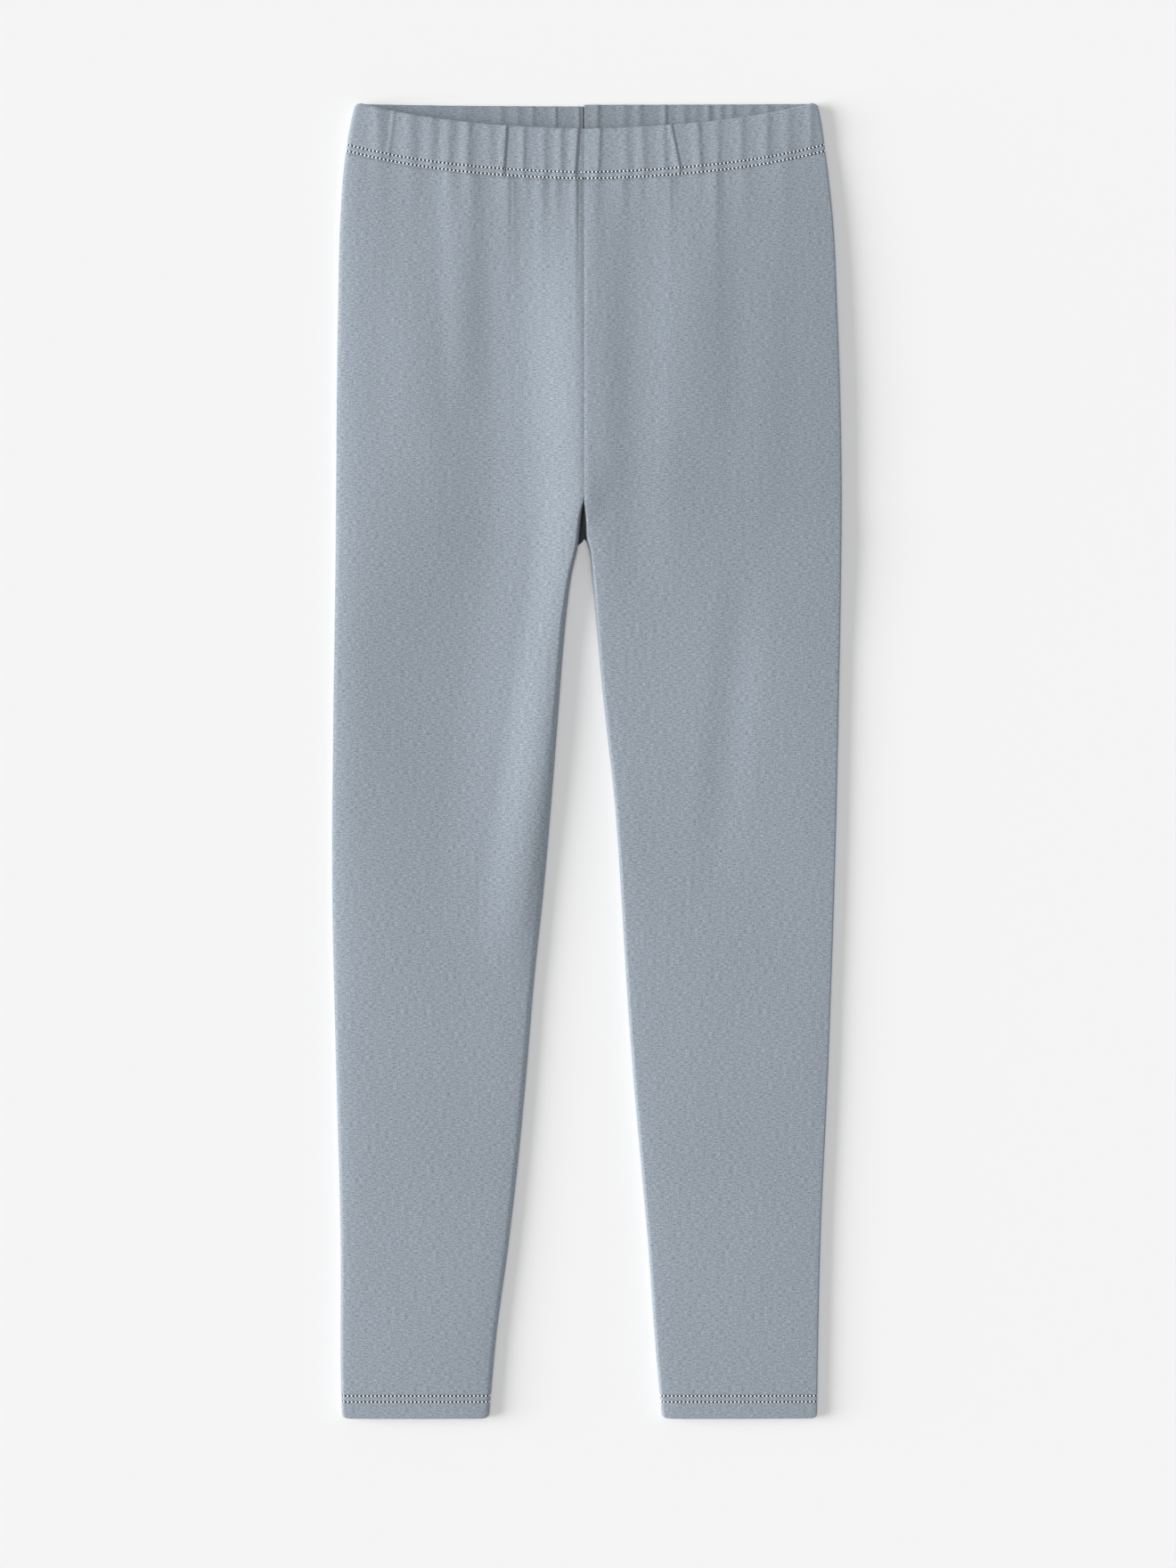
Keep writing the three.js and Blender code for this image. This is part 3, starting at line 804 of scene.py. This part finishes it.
class Nodes:
    """Builds a node tree in short calls."""

    def __init__(self, tree: bpy.types.NodeTree) -> None:
        """Starts on an empty tree."""
        self.tree = tree
        self.tree.nodes.clear()

    def add(self, kind: str, settings: dict | None = None, **inputs: object) -> bpy.types.Node:
        """Adds a node.

        Args:
            kind: the node's type.
            settings: its own properties.
            **inputs: sockets by name, spaces as underscores: a socket to link, or a value to set.

        Returns:
            The node.
        """
        node = self.tree.nodes.new(kind)
        for name, value in (settings or {}).items():
            setattr(node, name, value)
        for name, value in inputs.items():
            key = int(name[1:]) if name[0] == "_" else name.replace("_", " ")
            if isinstance(value, bpy.types.NodeSocket):
                self.tree.links.new(value, node.inputs[key])
            else:
                node.inputs[key].default_value = value
        return node

    def math(self, operation: str, a: object, b: object = 0.0, clamp: bool = False) -> bpy.types.NodeSocket:
        """Adds a Math node and returns its result."""
        settings = {"operation": operation, "use_clamp": clamp}
        return self.add("ShaderNodeMath", settings, _0=a, _1=b).outputs[0]


def new_group(
    name: str, inputs: dict[str, str], outputs: dict[str, str]
) -> tuple[Nodes, bpy.types.Node, bpy.types.Node]:
    """Starts a shader node group.

    Args:
        name: the group's name.
        inputs: socket names and types.
        outputs: socket names and types.

    Returns:
        The builder, the input node and the output node.
    """
    tree = bpy.data.node_groups.new(name, "ShaderNodeTree")
    for sockets, way in ((inputs, "INPUT"), (outputs, "OUTPUT")):
        for socket, kind in sockets.items():
            tree.interface.new_socket(name=socket, in_out=way, socket_type=kind)
    nodes = Nodes(tree)
    return nodes, nodes.add("NodeGroupInput"), nodes.add("NodeGroupOutput")


def heather_group() -> bpy.types.NodeTree:
    """The look of heathered jersey, from a vector that holds metres across and along the cloth.

    Its shade sums short pale and dark streaks that lie across, a fine grain and a broad drift, around 0. Its
    height is that of the knit, ribs of loops side by side, with the streaks on top. RIB and COURSE are the
    loops' period across and along.
    """
    nodes, given, made = new_group(
        "Heathered jersey",
        {"Vector": "NodeSocketVector", "Streaks": "NodeSocketFloat", "Grain": "NodeSocketFloat"},
        {"Shade": "NodeSocketFloat", "Drift": "NodeSocketFloat", "Height": "NodeSocketFloat"},
    )
    vector = given.outputs["Vector"]

    def noise(scale: tuple[float, float, float], detail: float) -> bpy.types.NodeSocket:
        """Noise around 0, stretched by the scale."""
        placed = nodes.add("ShaderNodeMapping", Vector=vector, Scale=scale).outputs[0]
        raw = nodes.add("ShaderNodeTexNoise", {"noise_dimensions": "2D"}, Vector=placed, Scale=1.0,
                        Detail=detail)
        return nodes.math("SUBTRACT", raw.outputs["Fac"], 0.5)

    streaks = nodes.math("MULTIPLY", noise((420.0, 1900.0, 1.0), 2.0), given.outputs["Streaks"])
    grain = nodes.math("MULTIPLY", noise((1500.0, 3200.0, 1.0), 0.0), given.outputs["Grain"])
    drift = noise((14.0, 9.0, 1.0), 2.0)
    parts = nodes.add("ShaderNodeSeparateXYZ", Vector=vector)
    wale = nodes.math("SINE", nodes.math("MULTIPLY", parts.outputs["X"], 2 * np.pi / RIB))
    loops = nodes.math("SINE", nodes.math("MULTIPLY", parts.outputs["Y"], 2 * np.pi / COURSE))
    knit = nodes.math("ADD", nodes.math("ABSOLUTE", wale), nodes.math("MULTIPLY", loops, 0.3))
    shade = nodes.math("ADD", streaks, grain)
    nodes.tree.links.new(shade, made.inputs["Shade"])
    nodes.tree.links.new(drift, made.inputs["Drift"])
    height = nodes.math("ADD", nodes.math("MULTIPLY", shade, 1.6), nodes.math("MULTIPLY", knit, 0.12))
    nodes.tree.links.new(height, made.inputs["Height"])
    return nodes.tree


def needle_group() -> bpy.types.NodeTree:
    """The small holes between the stitches of one row: 1 in a hole and 0 elsewhere.

    A hole is where the height is within half a hole of the row, and the distance round, counted in stitches,
    is near a whole number.
    """
    nodes, given, made = new_group(
        "Needle holes",
        {"Vector": "NodeSocketVector", "Row": "NodeSocketFloat", "Pitch": "NodeSocketFloat",
         "Size": "NodeSocketFloat"},
        {"Mask": "NodeSocketFloat"},
    )
    parts = nodes.add("ShaderNodeSeparateXYZ", Vector=given.outputs["Vector"])
    size = given.outputs["Size"]
    up = nodes.math("ABSOLUTE", nodes.math("SUBTRACT", parts.outputs["Y"], given.outputs["Row"]))
    near_row = nodes.math("SUBTRACT", 1.2, nodes.math("DIVIDE", up, size), True)
    count = nodes.math("DIVIDE", parts.outputs["X"], given.outputs["Pitch"])
    off = nodes.math("ABSOLUTE", nodes.math("SUBTRACT", count, nodes.math("ROUND", count)))
    beside = nodes.math("MULTIPLY", off, given.outputs["Pitch"])
    near_hole = nodes.math("SUBTRACT", 1.3, nodes.math("DIVIDE", beside, size), True)
    mask = nodes.math("MULTIPLY", near_row, near_hole)
    nodes.tree.links.new(nodes.math("MULTIPLY", mask, 2.2, True), made.inputs["Mask"])
    return nodes.tree


@dataclass(frozen=True)
class JerseyFinish:
    """Heathered jersey, with painted shade in the needle holes along its rows of stitches.

    dim is how much darker its colour is painted away from the hems and the waist, as shade where the
    garment's inside gets no light; painted_shade_from and painted_shade_to are where that begins, and
    painted_shade_fade is one over the length of its fades, in metres.
    """

    name: str
    colour: tuple[float, float, float] = (0.300, 0.343, 0.392)
    hole_rows: tuple[float, ...] = ()
    streaks: float = 1.0
    grain: float = 0.9
    drift: float = 0.10
    # painted shade of the inside: how much darker its colour is painted where it gets no light, where that
    # begins and ends, and how fast it fades
    dim: float = 0.0
    painted_shade_from: float = 0.03
    painted_shade_to: float = 0.65
    painted_shade_fade: float = 50.0
    hole: float = 0.00055
    # painted shade: how much each needle hole darkens the colour
    hole_painted_shade: float = 0.95
    bump: float = 0.35
    bump_distance: float = 0.0002

    def make(
        self, heather: bpy.types.NodeTree, needles: bpy.types.NodeTree, pitch: float
    ) -> bpy.types.Material:
        """Builds the material.

        Args:
            heather: the jersey's group.
            needles: the needle holes' group.
            pitch: distance between stitches, in millimetres.

        Returns:
            The material.
        """
        material = bpy.data.materials.new(self.name)
        material.use_nodes = True
        nodes = Nodes(material.node_tree)
        vector = nodes.add("ShaderNodeUVMap", {"uv_map": "Cloth"}).outputs["UV"]
        cloth = nodes.add("ShaderNodeGroup", {"node_tree": heather}, Vector=vector,
                          Streaks=self.streaks, Grain=self.grain)
        drift = nodes.math("MULTIPLY", cloth.outputs["Drift"], self.drift)
        shade = nodes.math("ADD", nodes.math("ADD", cloth.outputs["Shade"], drift), 1.0)
        # painted shade: the colour is darkened away from the hems and the waist, where the inside gets no
        # light
        if self.dim:
            along = nodes.add("ShaderNodeSeparateXYZ", Vector=vector).outputs["Y"]
            low = nodes.math("MULTIPLY", nodes.math("SUBTRACT", along, self.painted_shade_from), self.painted_shade_fade, True)
            high = nodes.math("MULTIPLY", nodes.math("SUBTRACT", self.painted_shade_to, along), self.painted_shade_fade, True)
            painted_shade_amount = nodes.math("MULTIPLY", nodes.math("MULTIPLY", low, high), self.dim)
            shade = nodes.math("MULTIPLY", shade, nodes.math("SUBTRACT", 1.0, painted_shade_amount))
        for row in self.hole_rows:
            hole = nodes.add("ShaderNodeGroup", {"node_tree": needles}, Vector=vector, Row=row * MM,
                             Pitch=pitch * MM, Size=self.hole)
            # painted shade: each needle hole darkens the colour
            kept = nodes.math("SUBTRACT", 1.0, nodes.math("MULTIPLY", hole.outputs["Mask"], self.hole_painted_shade))
            shade = nodes.math("MULTIPLY", shade, kept)
        colour = nodes.add("ShaderNodeVectorMath", {"operation": "SCALE"}, _0=self.colour, Scale=shade)
        bump = nodes.add("ShaderNodeBump", None, Strength=self.bump, Distance=self.bump_distance,
                         Height=cloth.outputs["Height"])
        surface = nodes.add("ShaderNodeBsdfPrincipled", None, Base_Color=colour.outputs[0], Roughness=0.88,
                            Normal=bump.outputs[0])
        surface.inputs["Specular IOR Level"].default_value = 0.25
        surface.inputs["Sheen Weight"].default_value = 0.12
        surface.inputs["Sheen Roughness"].default_value = 0.5
        nodes.add("ShaderNodeOutputMaterial", None, Surface=surface.outputs[0])
        return material


@dataclass(frozen=True)
class ThreadFinish:
    """Pale grey polyester sewing thread, a little glossy, with its twist."""

    name: str = "Sewing thread"
    colour: tuple[float, float, float] = (0.92, 0.97, 1.0)

    def make(self) -> bpy.types.Material:
        """Builds the material, with painted shade of its twisted plies: a slanting wave that darkens the
        thread's colour.
        """
        material = bpy.data.materials.new(self.name)
        material.use_nodes = True
        nodes = Nodes(material.node_tree)
        place = nodes.add("ShaderNodeTexCoord").outputs["Object"]
        turned = nodes.add("ShaderNodeMapping", None, Vector=place, Rotation=(0.0, 0.0, 0.6))
        painted_ply_shade = nodes.add("ShaderNodeTexWave", None, Vector=turned.outputs[0], Scale=900.0, Distortion=1.0)
        # painted shade of the plies' twist
        shade = nodes.math("ADD", nodes.math("MULTIPLY", painted_ply_shade.outputs["Fac"], 0.14), 0.9)
        colour = nodes.add("ShaderNodeVectorMath", {"operation": "SCALE"}, _0=self.colour, Scale=shade)
        surface = nodes.add("ShaderNodeBsdfPrincipled", None, Base_Color=colour.outputs[0], Roughness=0.5)
        surface.inputs["Sheen Weight"].default_value = 0.2
        nodes.add("ShaderNodeOutputMaterial", None, Surface=surface.outputs[0])
        return material


@dataclass(frozen=True)
class PaperFinish:
    """The pale matt surface that the garment lies on."""

    name: str = "Pale paper"
    colour: tuple[float, float, float] = (0.90, 0.90, 0.90)

    def make(self) -> bpy.types.Material:
        """Builds the material, with a faint grain."""
        material = bpy.data.materials.new(self.name)
        material.use_nodes = True
        nodes = Nodes(material.node_tree)
        place = nodes.add("ShaderNodeTexCoord").outputs["Object"]
        grain = nodes.add("ShaderNodeTexNoise", None, Vector=place, Scale=900.0, Detail=2.0)
        bump = nodes.add("ShaderNodeBump", None, Strength=0.05, Distance=0.0001, Height=grain.outputs["Fac"])
        surface = nodes.add("ShaderNodeBsdfPrincipled", None, Roughness=0.95, Normal=bump.outputs[0])
        surface.inputs["Base Color"].default_value = (*self.colour, 1.0)
        surface.inputs["Specular IOR Level"].default_value = 0.1
        nodes.add("ShaderNodeOutputMaterial", None, Surface=surface.outputs[0])
        return material


@dataclass(frozen=True)
class LegPiece:
    """One leg: the panel and its hem."""

    leg: Leg
    maker: ClothMaker
    cloth: float = 1.2
    hem_cloth: float = 1.7

    def panel(self) -> bpy.types.Object:
        """The leg panel, from the hem to the casing."""
        form = self.maker.form
        heights = spread((17.0, 6), (26.0, 4), (440.0, 40), (462.0, 12), (494.0, 26), (560.0, 14),
                         (625.0, 26), (form.seam_height, 48), start=form.hem_depth)
        u = self.maker.columns(front=150, back=52, turn=10)
        path = open_wall(heights, self.cloth)
        return self.maker.wall(f"{self.leg.word}_leg_cloth", self.leg, u, path, False)

    def hem(self) -> bpy.types.Object:
        """The turned-up hem."""
        u = self.maker.columns(front=110, back=60, turn=14)
        path = folded_wall(self.maker.form.hem_depth, 0.05, self.hem_cloth, 34)
        return self.maker.wall(f"{self.leg.word}_hem_cloth", self.leg, u, path, True)


@dataclass(frozen=True)
class CasingPiece:
    """One half of the gathered waist casing."""

    leg: Leg
    maker: ClothMaker
    cloth: float = 1.9

    def casing(self) -> bpy.types.Object:
        """The casing, folded at the waist's top edge."""
        u = self.maker.columns(front=300, back=200, turn=14)
        path = folded_wall(self.maker.form.seam_height, self.maker.form.length, self.cloth, 40)
        return self.maker.wall(f"{self.leg.word}_casing_cloth", self.leg, u, path, True)


@dataclass(frozen=True)
class Sewing:
    """All rows of stitches, as one piece for the waist and one for each hem."""

    maker: ClothMaker
    row: StitchRow

    def rows(self, name: str, legs: tuple[Leg, ...], heights: tuple[float, ...]) -> bpy.types.Object:
        """Joins the stitches of several rows.

        Args:
            name: the object's name.
            legs: the legs that the rows go round.
            heights: the rows' distances from the hems.

        Returns:
            The object.
        """
        points, faces, count = [], [], 0
        for leg in legs:
            for height in heights:
                some, numbers = self.row.lay(self.maker, leg, height)
                points.append(some)
                faces.append(numbers + count)
                count += len(some)
        all_points = np.concatenate(points)
        all_faces = np.concatenate(faces)
        flat = np.zeros(len(all_faces), bool)
        return put_mesh(name, all_points, all_faces, flat, all_points[:, :2] * MM)


@dataclass(frozen=True)
class Studio:
    """The floor, the light and a camera straight above."""

    frame_height: float = 833.5
    camera_height: float = 2.5
    lens_side: float = 36.0
    aim: tuple[float, float] = (0.46, -12.3)
    cloth_level: float = 7.0
    floor_half: float = 4000.0
    floor_z: float = -0.2
    white: float = 1.014
    key_share: float = 0.40
    key_rise: float = 19.5
    key_angle: float = 39.0
    top_share: float = 0.36
    top_angle: float = 30.0

    def floor(self) -> bpy.types.Object:
        """The surface, a large square just under the garment."""
        half = self.floor_half
        corners = np.array([[-half, -half, self.floor_z], [half, -half, self.floor_z],
                            [half, half, self.floor_z], [-half, half, self.floor_z]])
        floor = put_mesh("floor", corners, np.array([[0, 1, 2, 3]]), np.array([True]), corners[:, :2] * MM)
        floor.data.materials.append(PaperFinish().make())
        return floor

    def camera(self) -> None:
        """A camera whose picture is frame_height tall at the cloth's level."""
        data = bpy.data.cameras.new("camera")
        data.sensor_width = self.lens_side
        data.lens = self.lens_side * (self.camera_height / MM - self.cloth_level) / self.frame_height
        camera = bpy.data.objects.new("camera", data)
        camera.location = (self.aim[0] * MM, self.aim[1] * MM, self.camera_height)
        bpy.context.scene.collection.objects.link(camera)
        bpy.context.scene.camera = camera

    def lamp(self, name: str, share: float, rise: float, angle: float) -> None:
        """A far round lamp to the left.

        Args:
            name: the lamp's name.
            share: its share of the light on the paper.
            rise: degrees that it stands above the paper.
            angle: how wide it looks, in degrees.
        """
        data = bpy.data.lights.new(name, "SUN")
        data.angle = np.radians(angle)
        data.energy = share * self.white * np.pi / np.sin(np.radians(rise))
        lamp = bpy.data.objects.new(name, data)
        lamp.rotation_euler = (0.0, -np.radians(90.0 - rise), 0.0)
        bpy.context.scene.collection.objects.link(lamp)

    def lights(self) -> None:
        """Lights the paper white: a broad soft light low from the left, one above and an even sky."""
        self.lamp("key", self.key_share, self.key_rise, self.key_angle)
        self.lamp("top", self.top_share, 90.0, self.top_angle)
        world = bpy.data.worlds.new("sky")
        world.use_nodes = True
        background = world.node_tree.nodes["Background"]
        background.inputs["Color"].default_value = (1.0, 1.0, 1.0, 1.0)
        background.inputs["Strength"].default_value = (1 - self.key_share - self.top_share) * self.white
        bpy.context.scene.world = world
        bpy.context.scene.view_settings.view_transform = "Standard"


def finish_piece(piece: bpy.types.Object, materials: list[bpy.types.Material], *nodes: str) -> None:
    """Gives a piece its materials and body, and hides the solids that it stands for."""
    for material in materials:
        piece.data.materials.append(material)
    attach(piece, "root")
    if nodes:
        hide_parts(*nodes)
    LOG.info("%s: %d faces", piece.name, len(piece.data.polygons))


def main() -> None:
    """Builds the leggings, their stitches and the studio."""
    logging.basicConfig(level=logging.INFO, format="%(message)s")
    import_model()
    form = LaidForm()
    relief = GatherRelief(form)
    maker = ClothMaker(form, relief)
    row = StitchRow()
    heather, needles = heather_group(), needle_group()
    plain = JerseyFinish("Jersey").make(heather, needles, row.pitch)
    at_hem = JerseyFinish("Hem jersey", hole_rows=relief.hem_rows).make(heather, needles, row.pitch)
    at_waist = JerseyFinish("Waist jersey", hole_rows=relief.stitch_rows).make(heather, needles, row.pitch)
    # painted shade: the inside's colour is darker than the outside's and is further darkened inwards
    inside_with_painted_shade = JerseyFinish("Jersey inside with painted shade", colour=(0.255, 0.292, 0.334), dim=0.85)
    inside = inside_with_painted_shade.make(heather, needles, row.pitch)
    thread = ThreadFinish().make()
    sewing = Sewing(maker, row)

    studio = Studio()
    studio.floor()
    studio.camera()
    studio.lights()

    waist_stitches = sewing.rows("waist_stitches", (Leg.RIGHT, Leg.LEFT), relief.stitch_rows)
    finish_piece(waist_stitches, [thread])
    for leg in Leg:
        legs = LegPiece(leg, maker)
        panel = legs.panel()
        finish_piece(panel, [plain, inside], f"{leg.word}_leg_panel")
        hem = legs.hem()
        finish_piece(hem, [at_hem, inside], f"{leg.word}_leg_hem")
        stitches = sewing.rows(f"{leg.word}_hem_stitches", (leg,), relief.hem_rows)
        finish_piece(stitches, [thread])
        casing = CasingPiece(leg, maker).casing()
        finish_piece(casing, [at_waist, inside], f"{leg.word}_waist_casing")


if __name__ == "__main__":
    main()
